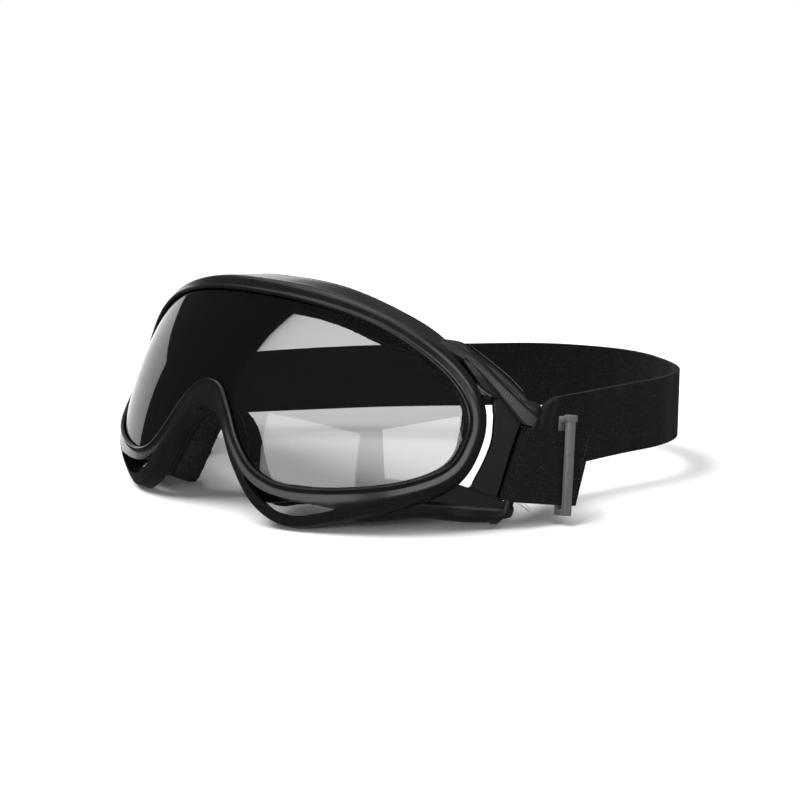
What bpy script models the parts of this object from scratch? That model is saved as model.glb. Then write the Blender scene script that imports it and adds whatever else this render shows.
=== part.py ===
"""Wrap-around motorcycle goggles, resting on their cheeks with the strap standing behind them.

Metres, +Z up.  The goggles face -Y, the wearer's left is +X, and Z = 0 is the surface they rest on.
The frame is laid out on a bowed sheet: u runs round the brow, v runs up and d runs out of the lens.
"""
import math

import bmesh
import bpy
import numpy as np
from mathutils import Matrix, Vector

MM = 0.001

# Driving dimensions
WRAP_RADIUS = 0.1024        # plan radius of the lens, and of its bow from top to bottom
RECLINE = math.radians(27.6)        # how far the top leans back while the goggles rest on their cheeks
REST_HEIGHT = 0.0463        # height of the lens centre over the resting surface
CENTRE_SHIFT = -0.0785      # puts the origin in the middle of the whole object, front to back
LENS_THICKNESS = 0.0018
WALL = 0.0024               # moulded shell
GAP = 0.0003                # between touching pieces
FOAM_GAP = 0.0008           # between the face frame and its foam
LIP = 0.0015                # how far the lens runs into its groove
FACE_PLATE = 0.0020
STRAP_WIDTH = 0.025
STRAP_THICKNESS = 0.0017
LUG_U = 0.1125              # lug bar: place round the brow, depth and radius
LUG_D = -0.0045
LUG_RADIUS = 0.0016
LUG_HALF = 0.0165
KEEPER_HEIGHT = 0.0322
KEEPER_DEPTH = 0.0070
KEEPER_WIDTH = 0.0030
KEEPER_BAR = 0.0022
STEPS = 3                   # stations between two outline points

# Outlines of the wearer's left half, from the top centre round to the nose: u, v in mm
LENS_EDGE = [(0, 29.3), (26, 29), (48, 27.2), (66, 22.6), (80, 16.4), (88, 9.2), (90, 1), (87, -9),
             (74.5, -18.2), (56, -25.7), (38, -29.6), (26.5, -27.8), (18.6, -21.2), (12, -11.8),
             (6, -4.8), (0, -2.8)]
# Front shoulder of the shell: u, v, d in mm
SHOULDER = [(0, 36, -1.8), (26, 35.8, -1.8), (49, 33, -2), (69, 28.5, -2.5), (84.5, 22, -2.5),
            (94, 12.5, -2.5), (97, 0.5, -2.5), (93, -12.5, -2.5), (78.5, -24.2, -2), (57.5, -35, -1.5),
            (39, -42, -1), (26, -38.8, -0.8), (16.5, -28.8, -0.5), (10.5, -19.5, -0.3), (6, -14.8, 0),
            (0, -12.8, 0)]
# Rear edge of the shell
REAR_EDGE = [(0, 41.3, -11.5), (26, 40.8, -11.5), (50, 37.2, -11.5), (69.5, 33.4, -14), (86, 26, -17.5),
             (96.5, 15, -19.5), (99.5, 1, -20.5), (95.5, -14.5, -16), (81, -27, -10.5), (58.5, -35.6, -8),
             (39, -41.8, -6), (25, -38.2, -5.5), (15.6, -28.2, -5), (9.8, -18.8, -5), (5.6, -14.2, -5),
             (0, -12.3, -5)]
# Outer edge of the face frame: u, v, d and the width of the plate
FACE_EDGE = [(0, 41.5, -11.8, 12), (26, 41, -11.8, 12.5), (50, 38.3, -16, 12.5), (70, 35, -24.5, 9),
             (86, 28, -25.5, 6), (96.5, 17, -25.2, 4.5), (100, 2, -24.2, 4), (96.5, -13, -21.5, 4),
             (82.5, -24.8, -16, 4.5), (60, -30.9, -10.5, 5), (41, -32.9, -6.8, 5), (25.8, -36.2, -6, 5),
             (16.2, -28, -5.3, 5.5), (10.2, -18.6, -5.3, 5.5), (5.8, -13.8, -5.3, 5), (0, -12, -5.3, 4.5)]
# Depth of the foam's soft edge at the same stations
FOAM_DEPTH = [-26, -27, -29.5, -32, -32, -31.7, -30.7, -28.7, -25.5, -21.5, -18.5, -19, -18.5, -18, -17, -17]
# Vent through the shell under each eye
CHEEK_VENT = [(22.5, -30.8), (27, -32.8), (33, -34), (42, -33.6), (55, -31.8), (54.5, -33.2), (48, -36.2),
              (42, -38.3), (35, -38.4), (29, -36.4), (24.5, -33)]
# Lug arms: u, v, d of the centre line and half sizes across v and d
UPPER_ARM = [(76, 30, -7.5, 2.6, 3), (86, 26.2, -7, 2.4, 3), (96, 22, -6.6, 2.2, 2.8),
             (105, 18.6, -6, 2, 2.5), (114.5, 15.2, -4.5, 1.9, 2.2)]
REAR_RIB = [(78, 31, -10.5, 2.4, 2.4), (86, 27.8, -10.5, 2.4, 2.2), (95, 25.6, -10.2, 2.4, 2.2),
            (105.5, 21.4, -9, 2.4, 2), (114, 15.3, -6, 1.6, 1.8)]
LOWER_ARM = [(62, -31.2, -6.5, 3, 3), (72, -27.6, -7, 3.2, 3.4), (84, -22.8, -7.5, 3.2, 3.6),
             (98, -20.2, -7.5, 3.2, 3.6), (108, -17.8, -7, 2.7, 3.2), (114.5, -15, -5, 1.9, 2.2)]
# Side panel between the crescent vent and the strap slot: u of both edges along v, and its depth
PANEL = [(18, 95.5, 106.5), (12, 98, 107.8), (5, 100.4, 108.2), (-2, 100.6, 108.3), (-9, 98.8, 108.3),
         (-14, 95.8, 108.2), (-15.2, 95, 111), (-18, 92, 111), (-20.5, 86, 109)]
PANEL_D = (-0.0040, -0.0066)

# Free run of the strap behind the goggles, left lug to right lug: x, y and height of its middle, mm
STRAP_RUN = [(76.8, 77.3, 22.4), (76.3, 87.8, 22.3), (78.5, 98, 22.4), (82, 115, 22.8),
             (85.5, 131, 23), (84.6, 144, 23), (80, 153, 23.2), (70, 160, 23.5), (55, 164.5, 24),
             (37.5, 163.5, 24), (16, 154, 24), (-5, 137, 23.5), (-32, 115, 22.5), (-55, 96, 21),
             (-72, 77.5, 20)]
TAIL_LENGTH = 0.0218
TAIL_RISE = 0.295            # the tail climbs across the lug as it runs back
TAIL_LEAN = math.radians(23)
KEEPER_ALONG = 0.0148       # from the lug bar to the keeper, along the tail
HEM_LENGTH = 0.0016         # folded end of the strap that keeps the keeper on
HEM_THICKNESS = 0.0015
KEEPER_RISE = 0.0008        # the keeper sits a little high on the tail


def clear_scene():
    for obj in list(bpy.data.objects):
        bpy.data.objects.remove(obj, do_unlink=True)


def make_collection(name):
    group = bpy.data.collections.new(name)
    bpy.context.scene.collection.children.link(group)
    return group


def make_material(name, colour, roughness, metallic=0.0, alpha=1.0):
    material = bpy.data.materials.new(name)
    material.use_nodes = True
    shader = material.node_tree.nodes["Principled BSDF"]
    shader.inputs["Base Color"].default_value = (*colour, 1.0)
    shader.inputs["Roughness"].default_value = roughness
    shader.inputs["Metallic"].default_value = metallic
    shader.inputs["Alpha"].default_value = alpha
    return material


def recline(x, y, z):
    """Lean a point of the upright goggles back and set it over the resting surface."""
    back = y * math.cos(RECLINE) + z * math.sin(RECLINE)
    up = z * math.cos(RECLINE) - y * math.sin(RECLINE)
    return Vector((x, back + CENTRE_SHIFT, up + REST_HEIGHT))


def wrap(u, v, d):
    """Place a point given round, up and out of the bowed sheet."""
    angle = u / WRAP_RADIUS
    reach = WRAP_RADIUS + d
    bow = v * v / (2 * WRAP_RADIUS)
    return recline(reach * math.sin(angle), WRAP_RADIUS - reach * math.cos(angle) + bow, v)


def whole_outline(half):
    """Mirror a half outline and smooth it into a closed ring of stations, in metres."""
    half = np.array(half, float) * MM
    other = half[-2:0:-1].copy()
    other[:, 0] *= -1
    ring = np.vstack([half, other])
    stations = []
    for i in range(len(ring)):
        before, start, end, after = (ring[(i + k) % len(ring)] for k in (-1, 0, 1, 2))
        for step in range(STEPS):
            t = step / STEPS
            pull = (end - before) * t + (2 * before - 5 * start + 4 * end - after) * t * t
            bend = (3 * start - before - 3 * end + after) * t ** 3
            stations.append(start + 0.5 * (pull + bend))
    return np.array(stations)


def outward_of(edge):
    """Unit vectors in the sheet that point out of a closed outline."""
    along = np.roll(edge[:, :2], -1, axis=0) - np.roll(edge[:, :2], 1, axis=0)
    across = np.column_stack([-along[:, 1], along[:, 0]])
    return across / np.linalg.norm(across, axis=1)[:, None]


def add_object(name, bm, collection, material=None):
    bmesh.ops.recalc_face_normals(bm, faces=bm.faces)
    mesh = bpy.data.meshes.new(name)
    bm.to_mesh(mesh)
    bm.free()
    obj = bpy.data.objects.new(name, mesh)
    collection.objects.link(obj)
    if material:
        mesh.materials.append(material)
    return obj


def loft(sections, closed):
    """Join equal-length sections, each a list of points, into one skin."""
    bm = bmesh.new()
    rings = [[bm.verts.new(point) for point in section] for section in sections]
    pairs = list(zip(rings, rings[1:] + rings[:1])) if closed else list(zip(rings, rings[1:]))
    for first, second in pairs:
        for k in range(len(first)):
            nxt = (k + 1) % len(first)
            bm.faces.new((first[k], first[nxt], second[nxt], second[k]))
    if not closed:
        bm.faces.new(rings[0])
        bm.faces.new(reversed(rings[-1]))
    return bm


def smooth(obj, angle=35):
    obj.data.shade_smooth()
    obj.data.set_sharp_from_angle(angle=math.radians(angle))


def cut(obj, cutter, operation="DIFFERENCE"):
    modifier = obj.modifiers.new(cutter.name, "BOOLEAN")
    modifier.operation = operation
    modifier.solver = "EXACT"
    modifier.object = cutter


def as_cutter(obj):
    obj.hide_render = True
    obj.display_type = "WIRE"


def make_shell(collection, material):
    """Front shell: a bead round the lens, a groove that holds it and a band that runs back."""
    lens = whole_outline(LENS_EDGE)
    shoulder = whole_outline(SHOULDER)
    rear = whole_outline(REAR_EDGE)
    out = outward_of(lens)
    side = outward_of(shoulder)
    sections = []
    for i in range(len(lens)):
        def near(offset, depth, i=i):
            u, v = lens[i] + out[i] * offset
            return wrap(u, v, depth)

        def band(share, inset, i=i):
            point = shoulder[i] * (1 - share) + rear[i] * share
            u, v = point[:2] - side[i] * inset
            return wrap(u, v, point[2])

        front = shoulder[i]
        inner = front[:2] - side[i] * WALL
        crown = lens[i] * 0.35 + front[:2] * 0.65
        sections.append([
            near(0, GAP / 2), near(0.0003, 0.0011), near(0.0012, 0.0017), near(0.0022, 0.0014),
            near(0.0031, 0.0005), wrap(*crown, 0.0004 + front[2] * 0.3), wrap(*front),
            band(0.35, 0), band(1, 0), band(1, WALL), wrap(*inner, front[2] - WALL * 1.3),
            near(0.0033, -0.0041), near(-0.0002, -0.0038), near(-0.0002, -0.0017 - LENS_THICKNESS / 3),
            near(LIP, -0.0017 - LENS_THICKNESS / 3), near(LIP, GAP / 2)])
    return add_object("front_frame", loft(sections, True), collection, material)


def make_arm(name, line, collection):
    """Rounded bar that follows the wrap from the shell to the lug."""
    sections = []
    for u, v, d, half_v, half_d in (np.array(row) * MM for row in line):
        corner_v, corner_d = half_v * 0.55, half_d * 0.55
        ring = [(-half_v, -corner_d), (-corner_v, -half_d), (corner_v, -half_d), (half_v, -corner_d),
                (half_v, corner_d), (corner_v, half_d), (-corner_v, half_d), (-half_v, corner_d)]
        sections.append([wrap(u, v + dv, d + dd) for dv, dd in ring])
    return add_object(name, loft(sections, False), collection)


def make_panel(collection):
    """Thin panel that closes the side between the crescent vent and the strap slot."""
    sections = []
    for v, front, back in (np.array(row) * MM for row in PANEL):
        sections.append([wrap(front, v, PANEL_D[0]), wrap(back, v, PANEL_D[0]),
                         wrap(back, v, PANEL_D[1]), wrap(front, v, PANEL_D[1])])
    return add_object("lug_panel", loft(sections, False), collection)


def lug_ends():
    """Ends of the left lug bar."""
    return wrap(LUG_U, LUG_HALF, LUG_D), wrap(LUG_U, -LUG_HALF, LUG_D)


def make_lug_bar(collection):
    """Straight round bar that the strap folds round."""
    top, bottom = lug_ends()
    bm = bmesh.new()
    bmesh.ops.create_cone(bm, cap_ends=True, segments=16, radius1=LUG_RADIUS, radius2=LUG_RADIUS,
                          depth=(top - bottom).length)
    turn = (top - bottom).to_track_quat("Z", "Y").to_matrix().to_4x4()
    bmesh.ops.transform(bm, matrix=Matrix.Translation((top + bottom) / 2) @ turn, verts=bm.verts)
    return add_object("lug_bar", bm, collection)


def make_vent_cutter(collection):
    """Slot under the eye, straight through the shell."""
    layers = []
    for depth in (0.006, -0.016):
        layers.append([wrap(u * MM, v * MM, depth) for u, v in CHEEK_VENT])
    return add_object("cheek_vent", loft(layers, False), collection)


def mirrored(obj, collection):
    """Copy a hidden helper to the wearer's right."""
    other = bpy.data.objects.new(obj.name + "_right", obj.data.copy())
    other.data.transform(Matrix.Scale(-1, 4, (1, 0, 0)))
    other.data.flip_normals()
    collection.objects.link(other)
    return other


def make_floor_cutter(collection):
    """Block under the resting surface, which leaves a small flat under each cheek."""
    bm = bmesh.new()
    bmesh.ops.create_cube(bm, size=0.4)
    bmesh.ops.translate(bm, verts=bm.verts, vec=(0, 0, -0.2))
    return add_object("resting_plane", bm, collection)


def make_front_frame(parts, helpers, material):
    shell = make_shell(parts, material)
    joined = [make_arm("upper_arm", UPPER_ARM, helpers), make_arm("rear_rib", REAR_RIB, helpers),
              make_arm("lower_arm", LOWER_ARM, helpers), make_panel(helpers), make_lug_bar(helpers)]
    for helper in joined:
        for side in (helper, mirrored(helper, helpers)):
            cut(shell, side, "UNION")
            as_cutter(side)
    vent = make_vent_cutter(helpers)
    for cutter in (vent, mirrored(vent, helpers), make_floor_cutter(helpers)):
        cut(shell, cutter)
        as_cutter(cutter)
    smooth(shell)
    return shell


def make_lens(collection, material):
    """Bowed lens sheet whose edge runs into the groove of the shell."""
    lens = whole_outline(LENS_EDGE)
    edge = lens + outward_of(lens) * (LIP - GAP)
    middle = np.array([0.0, 0.014])
    bm = bmesh.new()
    for depth in (-GAP / 2, -GAP / 2 - LENS_THICKNESS):
        rings = []
        for share in (1, 0.75, 0.5, 0.25):
            rings.append([bm.verts.new(wrap(*(middle + (p - middle) * share), depth)) for p in edge])
        centre = bm.verts.new(wrap(*middle, depth))
        count = len(edge)
        for outer, inner in zip(rings, rings[1:]):
            for k in range(count):
                nxt = (k + 1) % count
                bm.faces.new((outer[k], outer[nxt], inner[nxt], inner[k]))
        for k in range(count):
            bm.faces.new((rings[-1][k], rings[-1][(k + 1) % count], centre))
        if depth == -GAP / 2:
            front_rim = rings[0]
    for k in range(count):
        nxt = (k + 1) % count
        bm.faces.new((front_rim[k], front_rim[nxt], rings[0][nxt], rings[0][k]))
    obj = add_object("lens", bm, collection, material)
    smooth(obj, 50)
    return obj


def face_ring():
    """Outer edge, inward direction and plate width at every station of the face frame."""
    edge = whole_outline(FACE_EDGE)
    return edge, -outward_of(edge)


def make_face_frame(collection, material):
    """Rear frame: a thin flange that carries the foam."""
    edge, inward = face_ring()
    sections = []
    for (u, v, d, width), (iu, iv) in zip(edge, inward):
        sections.append([wrap(u, v, d), wrap(u + iu * width, v + iv * width, d),
                         wrap(u + iu * width, v + iv * width, d - FACE_PLATE),
                         wrap(u, v, d - FACE_PLATE)])
    return add_object("face_frame", loft(sections, True), collection, material)


def make_face_foam(collection, material):
    """Foam ring on the face frame, rounded where it meets the face."""
    edge, inward = face_ring()
    depths = [(depth, 0) for depth in FOAM_DEPTH]
    rear = whole_outline([(0, 0, depth) for depth, _ in depths])[:, 2]
    sections = []
    for (u, v, d, width), (iu, iv), back in zip(edge, inward, rear):
        front = d - FACE_PLATE - FOAM_GAP
        low, high = 0.0006, width - 0.0004
        profile = [(low, front), (high, front), (high, back + 0.003), (high - 0.0012, back + 0.0008),
                   ((low + high) / 2, back), (low + 0.0012, back + 0.0008), (low, back + 0.003)]
        sections.append([wrap(u + iu * a, v + iv * a, b) for a, b in profile])
    obj = add_object("face_foam", loft(sections, True), collection, material)
    smooth(obj, 50)
    return obj


def lug_axes(side):
    """Middle of a lug bar, and its directions back along the wrap, outward and up."""
    top, bottom = lug_ends()
    centre = (top + bottom) / 2
    back = wrap(LUG_U + MM, 0, LUG_D) - wrap(LUG_U, 0, LUG_D)
    out = wrap(LUG_U, 0, LUG_D + MM) - wrap(LUG_U, 0, LUG_D)
    up = top - bottom
    axes = [centre, back.normalized(), out.normalized(), up.normalized()]
    for vector in axes:
        vector.x *= side
    return axes


def tail_frame(side):
    """Start of the strap's tail on the lug bar, its direction, and its up and outward directions."""
    centre, back, out, up = lug_axes(side)
    along = (back + up * TAIL_RISE).normalized()
    lean = Vector((0, math.sin(TAIL_LEAN), math.cos(TAIL_LEAN)))
    lean = (lean - out * lean.dot(out)).normalized()
    offset = LUG_RADIUS + GAP + STRAP_THICKNESS / 2
    return centre + out * offset, along, lean, out


def lug_turn(side, leaving):
    """Points and ups of the strap where it folds round a lug bar, from the tail to its free run."""
    centre, back, out, up = lug_axes(side)
    offset = LUG_RADIUS + GAP + STRAP_THICKNESS / 2
    start, along, lean, _ = tail_frame(side)
    path = [(start + along * reach, lean) for reach in (TAIL_LENGTH, TAIL_LENGTH * 0.75, 0.5 * TAIL_LENGTH)]
    path.append((start + along * TAIL_LENGTH * 0.2, lean.lerp(up, 0.6).normalized()))
    heading = (leaving - centre).normalized()
    end = math.atan2(-heading.dot(back), heading.dot(out)) % (2 * math.pi)
    turns = 9
    for step in range(turns + 1):
        angle = math.pi / 2 + (end - math.pi / 2) * step / turns
        point = centre + (back * math.cos(angle) + out * math.sin(angle)) * offset
        path.append((point, up))
    return path


def strap_path():
    """Middle line of the strap with its up direction, left tail to right tail."""
    run = [Vector((x * MM, y * MM + CENTRE_SHIFT, z * MM)) for x, y, z in STRAP_RUN]
    upright = Vector((0, 0, 1))
    left = lug_turn(1, run[0])
    right = lug_turn(-1, run[-1])
    points = [left[-1][0]] + run + [right[-1][0]]
    ends = [points[0] * 2 - points[1]] + points + [points[-1] * 2 - points[-2]]
    middle = []
    for i in range(1, len(ends) - 2):
        before, start, end, after = ends[i - 1], ends[i], ends[i + 1], ends[i + 2]
        for step in range(STEPS):
            t = step / STEPS
            pull = (end - before) * t + (2 * before - 5 * start + 4 * end - after) * t * t
            point = start + 0.5 * (pull + (3 * start - before - 3 * end + after) * t ** 3)
            middle.append(point)
    count = len(middle)
    lean = left[-1][1]
    blended = []
    for k, point in enumerate(middle[1:], start=1):
        share = min(1, k / 9, (count - k) / 9)
        blended.append((point, lean.lerp(upright, share).normalized()))
    return left + blended + right[::-1]


def make_strap(collection, material):
    """Woven elastic band, one length, folded back round each lug bar."""
    path = strap_path()
    sections = []
    for i, (point, up) in enumerate(path):
        along = path[min(i + 1, len(path) - 1)][0] - path[max(i - 1, 0)][0]
        across = along.cross(up).normalized() * STRAP_THICKNESS / 2
        rise = up * STRAP_WIDTH / 2
        sections.append([point - across - rise, point + across - rise,
                         point + across + rise, point - across + rise])
    obj = add_object("strap", loft(sections, False), collection, material)
    smooth(obj, 50)
    return obj


def make_hem(side, name, collection, material):
    """End of the webbing folded in against the tail, thicker than the keeper's window is deep."""
    start, along, lean, out = tail_frame(side)
    inner = start - out * (STRAP_THICKNESS / 2 + GAP)
    sections = []
    for reach in (TAIL_LENGTH - HEM_LENGTH, TAIL_LENGTH):
        point = inner + along * reach
        rise = lean * STRAP_WIDTH / 2
        depth = -out * HEM_THICKNESS
        sections.append([point - rise, point + rise, point + rise + depth, point - rise + depth])
    return add_object(name, loft(sections, False), collection, material)


def make_keeper(side, name, collection, helpers, material):
    """Rectangular loop round the strap's tail."""
    start, along, lean, out = tail_frame(side)
    across = along.cross(lean).normalized()
    square_up = across.cross(along)
    centre = start + along * KEEPER_ALONG + square_up * KEEPER_RISE
    axes = Matrix((across, along, square_up)).transposed().to_4x4()
    place = Matrix.Translation(centre) @ axes
    outer = (KEEPER_DEPTH, KEEPER_WIDTH, KEEPER_HEIGHT)
    inner = (KEEPER_DEPTH - 2 * KEEPER_BAR, 4 * KEEPER_WIDTH, KEEPER_HEIGHT - 2 * KEEPER_BAR)
    made = []
    for label, size, group in ((name, outer, collection), (name + "_window", inner, helpers)):
        bm = bmesh.new()
        bmesh.ops.create_cube(bm, size=1)
        bmesh.ops.scale(bm, verts=bm.verts, vec=size)
        made.append(add_object(label, bm, group))
        made[-1].matrix_world = place
    keeper, window = made
    keeper.data.materials.append(material)
    cut(keeper, window)
    as_cutter(window)
    rounding = keeper.modifiers.new("rounding", "BEVEL")
    rounding.width = 0.0005
    rounding.segments = 2
    return keeper


def main():
    clear_scene()
    parts = make_collection("motorcycle_goggles")
    helpers = make_collection("helpers")
    frame_plastic = make_material("frame_plastic", (0.018, 0.018, 0.019), 0.32)
    face_plastic = make_material("face_plastic", (0.015, 0.015, 0.016), 0.45)
    smoke_lens = make_material("smoke_lens", (0.30, 0.30, 0.31), 0.05, alpha=0.45)
    foam = make_material("foam", (0.012, 0.012, 0.012), 0.95)
    webbing = make_material("webbing", (0.014, 0.014, 0.015), 0.85)
    keeper_grey = make_material("keeper_grey", (0.16, 0.16, 0.165), 0.45)
    make_front_frame(parts, helpers, frame_plastic)
    make_lens(parts, smoke_lens)
    make_face_frame(parts, face_plastic)
    make_face_foam(parts, foam)
    make_strap(parts, webbing)
    make_hem(1, "strap_hem_left", parts, webbing)
    make_hem(-1, "strap_hem_right", parts, webbing)
    make_keeper(1, "keeper_left", parts, helpers, keeper_grey)
    make_keeper(-1, "keeper_right", parts, helpers, keeper_grey)


main()
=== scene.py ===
# %% [markdown]
# # Wrap-around riding goggles
# The object is a pair of motorcycle goggles that lie on their cheeks, with the strap standing behind them.
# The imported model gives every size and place. This lesson dresses it: each moulding, sheet, foam and webbing
# gets a fine surface and a finish of its own. The two strap keepers slide on the tails, so their pieces ride
# on bodies of their own, and everything else rides on the goggles.

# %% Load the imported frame
import math

import bpy
import numpy as np
from mathutils import Matrix, Vector


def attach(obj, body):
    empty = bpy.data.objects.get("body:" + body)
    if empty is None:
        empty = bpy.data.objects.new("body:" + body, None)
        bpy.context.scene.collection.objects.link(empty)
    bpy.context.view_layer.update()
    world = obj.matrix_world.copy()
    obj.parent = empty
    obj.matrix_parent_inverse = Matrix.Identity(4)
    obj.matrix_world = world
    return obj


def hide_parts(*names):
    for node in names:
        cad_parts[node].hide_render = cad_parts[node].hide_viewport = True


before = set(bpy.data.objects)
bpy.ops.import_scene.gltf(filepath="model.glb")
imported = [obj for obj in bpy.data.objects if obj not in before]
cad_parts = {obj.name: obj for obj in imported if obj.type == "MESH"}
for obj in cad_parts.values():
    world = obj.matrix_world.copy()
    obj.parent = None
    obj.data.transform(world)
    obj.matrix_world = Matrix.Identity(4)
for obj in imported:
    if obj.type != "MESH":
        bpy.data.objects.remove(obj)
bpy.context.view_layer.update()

MM = 0.001
SIDES = ((1, "left"), (-1, "right"))

# %% [markdown]
# The goggles were laid out on a bowed sheet: `u` runs round the brow, `v` runs up and `d` runs out of the
# lens, all in millimetres. Working in those three directions keeps every outline flat and simple, and one
# function then wraps, leans and lifts any point into place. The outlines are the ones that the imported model
# was drawn with, so the fine pieces lie exactly where the plain solids do.

# %% The bowed sheet
WRAP_RADIUS = 102.4
RECLINE = math.radians(27.6)
REST_HEIGHT = 46.3
CENTRE_SHIFT = -78.5


def wrap(points):
    """World places, in metres, of points given as u, v, d in millimetres: bowed, leaned back and lifted."""
    u, v, d = np.moveaxis(np.asarray(points, float), -1, 0)
    reach = WRAP_RADIUS + d
    x = reach * np.sin(u / WRAP_RADIUS)
    y = WRAP_RADIUS - reach * np.cos(u / WRAP_RADIUS) + v * v / (2 * WRAP_RADIUS)
    back = y * math.cos(RECLINE) + v * math.sin(RECLINE)
    up = v * math.cos(RECLINE) - y * math.sin(RECLINE)
    return np.stack([x, back + CENTRE_SHIFT, up + REST_HEIGHT], axis=-1) * MM


print("middle of the lens edge at", wrap((0, 29.3, 0)).round(4))


# %% [markdown]
# The outlines are short tables of given points. A Catmull-Rom curve through them gives the smooth lines
# of a moulding, and because the goggles are symmetrical each outline is drawn for one half and mirrored.

# %% Smooth lines and outlines
def eased(points, steps, closed):
    """A smooth curve through the points, with this many steps from one to the next."""
    points = np.asarray(points, float)
    if not closed:
        points = np.vstack([2 * points[0] - points[1], points, 2 * points[-1] - points[-2]])
    count = len(points) if closed else len(points) - 3
    shift = -1 if closed else 0
    made = []
    for i in range(count):
        before, start, end, after = (points[(i + k + shift) % len(points)] for k in range(4))
        for step in range(steps):
            t = step / steps
            pull = (end - before) * t + (2 * before - 5 * start + 4 * end - after) * t * t
            made.append(start + 0.5 * (pull + (3 * start - before - 3 * end + after) * t ** 3))
    if not closed:
        made.append(points[-2])
    return np.array(made)


def whole(half, steps=6):
    """The closed outline whose left half is given, smoothed into a ring of stations."""
    half = np.array(half, float)
    other = half[-2:0:-1] * np.array([-1] + [1] * (half.shape[1] - 1))
    return eased(np.vstack([half, other]), steps, True)


def outward(edge):
    """Unit u, v directions that point out of a closed outline."""
    along = np.roll(edge[:, :2], -1, axis=0) - np.roll(edge[:, :2], 1, axis=0)
    across = np.column_stack([-along[:, 1], along[:, 0]])
    return across / np.linalg.norm(across, axis=1)[:, None]


# %% [markdown]
# Almost every piece of these goggles is a skin with two natural directions: round the face and across the
# section, or along the webbing and over its width. Blender's grid is that skin laid flat. So each piece
# starts as a grid primitive with enough squares, its points go to their places row by row, and where the
# skin closes on itself the doubled seam is merged. The grid also brings a UV map that follows the piece.

# %% Selecting and editing
def deselect():
    if bpy.context.object and bpy.context.object.mode != "OBJECT":
        bpy.ops.object.mode_set(mode="OBJECT")
    bpy.ops.object.select_all(action="DESELECT")


def pick(obj):
    deselect()
    obj.select_set(True)
    bpy.context.view_layer.objects.active = obj


def edit(obj, *steps):
    """Runs mesh operators on the whole of obj: each step is an operator and its settings."""
    pick(obj)
    bpy.ops.object.mode_set(mode="EDIT")
    for operator, settings in steps:
        bpy.ops.mesh.select_all(action="SELECT")
        operator(**settings)
    bpy.ops.object.mode_set(mode="OBJECT")


def face_out(obj):
    edit(obj, (bpy.ops.mesh.normals_make_consistent, dict(inside=False)))


# %% Modifiers and grids
def finish(obj, kind, **settings):
    """Adds a modifier to obj and applies it."""
    pick(obj)
    modifier = obj.modifiers.new(kind.lower(), kind)
    for name, value in settings.items():
        setattr(modifier, name, value)
    bpy.ops.object.modifier_apply(modifier=modifier.name)


def laid_grid(name, points, closed=False, capped=False):
    """A grid whose point i, j goes to points[i, j]; closed merges its seams, capped fills its two ends."""
    deselect()
    rows, columns = points.shape[:2]
    bpy.ops.mesh.primitive_grid_add(x_subdivisions=columns - 1, y_subdivisions=rows - 1, size=1)
    obj = bpy.context.object
    obj.name = obj.data.name = name
    obj.data.vertices.foreach_set("co", np.ascontiguousarray(points, np.float32).reshape(-1))
    if closed:
        edit(obj, (bpy.ops.mesh.remove_doubles, dict(threshold=1e-6)))
    if capped:
        pick(obj)
        bpy.ops.object.mode_set(mode="EDIT")
        bpy.ops.mesh.select_all(action="DESELECT")
        bpy.ops.mesh.select_mode(type="EDGE")
        bpy.ops.mesh.select_non_manifold()
        bpy.ops.mesh.fill_holes(sides=0)
        bpy.ops.object.mode_set(mode="OBJECT")
    if closed or capped:
        face_out(obj)
    return obj


def smooth(obj, angle=40):
    pick(obj)
    bpy.ops.object.shade_smooth_by_angle(angle=math.radians(angle))


def closed_round(rows):
    """Rows of stations, each with its first station again at its end."""
    return np.concatenate([rows, rows[:, :1]], axis=1)


def ring_of(rows):
    """Rows of wrapped stations, closed both round the face and round the section."""
    return closed_round(np.stack(list(rows) + [rows[0]]))


def report(obj):
    faces = len(obj.data.polygons)
    print(f"{obj.name}: {faces} faces, {[round(x * 1000) for x in obj.dimensions]} mm")


# %% [markdown]
# ## Finishes
# A finish is a small tree of nodes. Written as Python expressions it reads like the recipe it is: speckle
# times a number, one minus a mask. A class wraps a node's output so that plus, minus and times add the Math
# nodes, and one method adds any other node.

# %% Shader sums as Python
class Wire:
    """A node's output, or a plain number, that can be added up like a number."""

    def __init__(self, tree, value):
        self.tree = tree
        self.value = value

    def node(self, kind, settings=(), output=0, **inputs):
        """Adds a node: its settings first, then values or wires for its sockets by name or _number."""
        made = self.tree.nodes.new(kind)
        for name, value in dict(settings).items():
            setattr(made, name, value)
        for name, value in inputs.items():
            label = name.replace("_", " ").strip()
            socket = made.inputs[int(label)] if label.isdigit() else made.inputs[label]
            self.join(socket, value)
        return Wire(self.tree, made.outputs[output])

    def join(self, socket, value):
        if isinstance(value, Wire):
            self.tree.links.new(value.value, socket)
        else:
            socket.default_value = value

    def sum(self, operation, first, second):
        return self.node("ShaderNodeMath", dict(operation=operation), _0=first, _1=second)

    def __add__(self, other):
        return self.sum("ADD", self, other)

    def __radd__(self, other):
        return self.sum("ADD", other, self)

    def __sub__(self, other):
        return self.sum("SUBTRACT", self, other)

    def __rsub__(self, other):
        return self.sum("SUBTRACT", other, self)

    def __mul__(self, other):
        return self.sum("MULTIPLY", self, other)

    def __rmul__(self, other):
        return self.sum("MULTIPLY", other, self)

    def sine(self):
        return self.node("ShaderNodeMath", dict(operation="SINE"), _0=self)

    def between(self, low, high, start=0.0, end=1.0):
        """This value mapped from low..high to start..end, and held at the ends."""
        return self.node("ShaderNodeMapRange", dict(clamp=True), Value=self, From_Min=low, From_Max=high,
                         To_Min=start, To_Max=end)


# %% [markdown]
# Every finish starts from the same Principled shader, and differs in what feeds its colour, roughness, coat and
# relief. Patterns read object coordinates, so they keep their real size on every piece that wears them.

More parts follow.
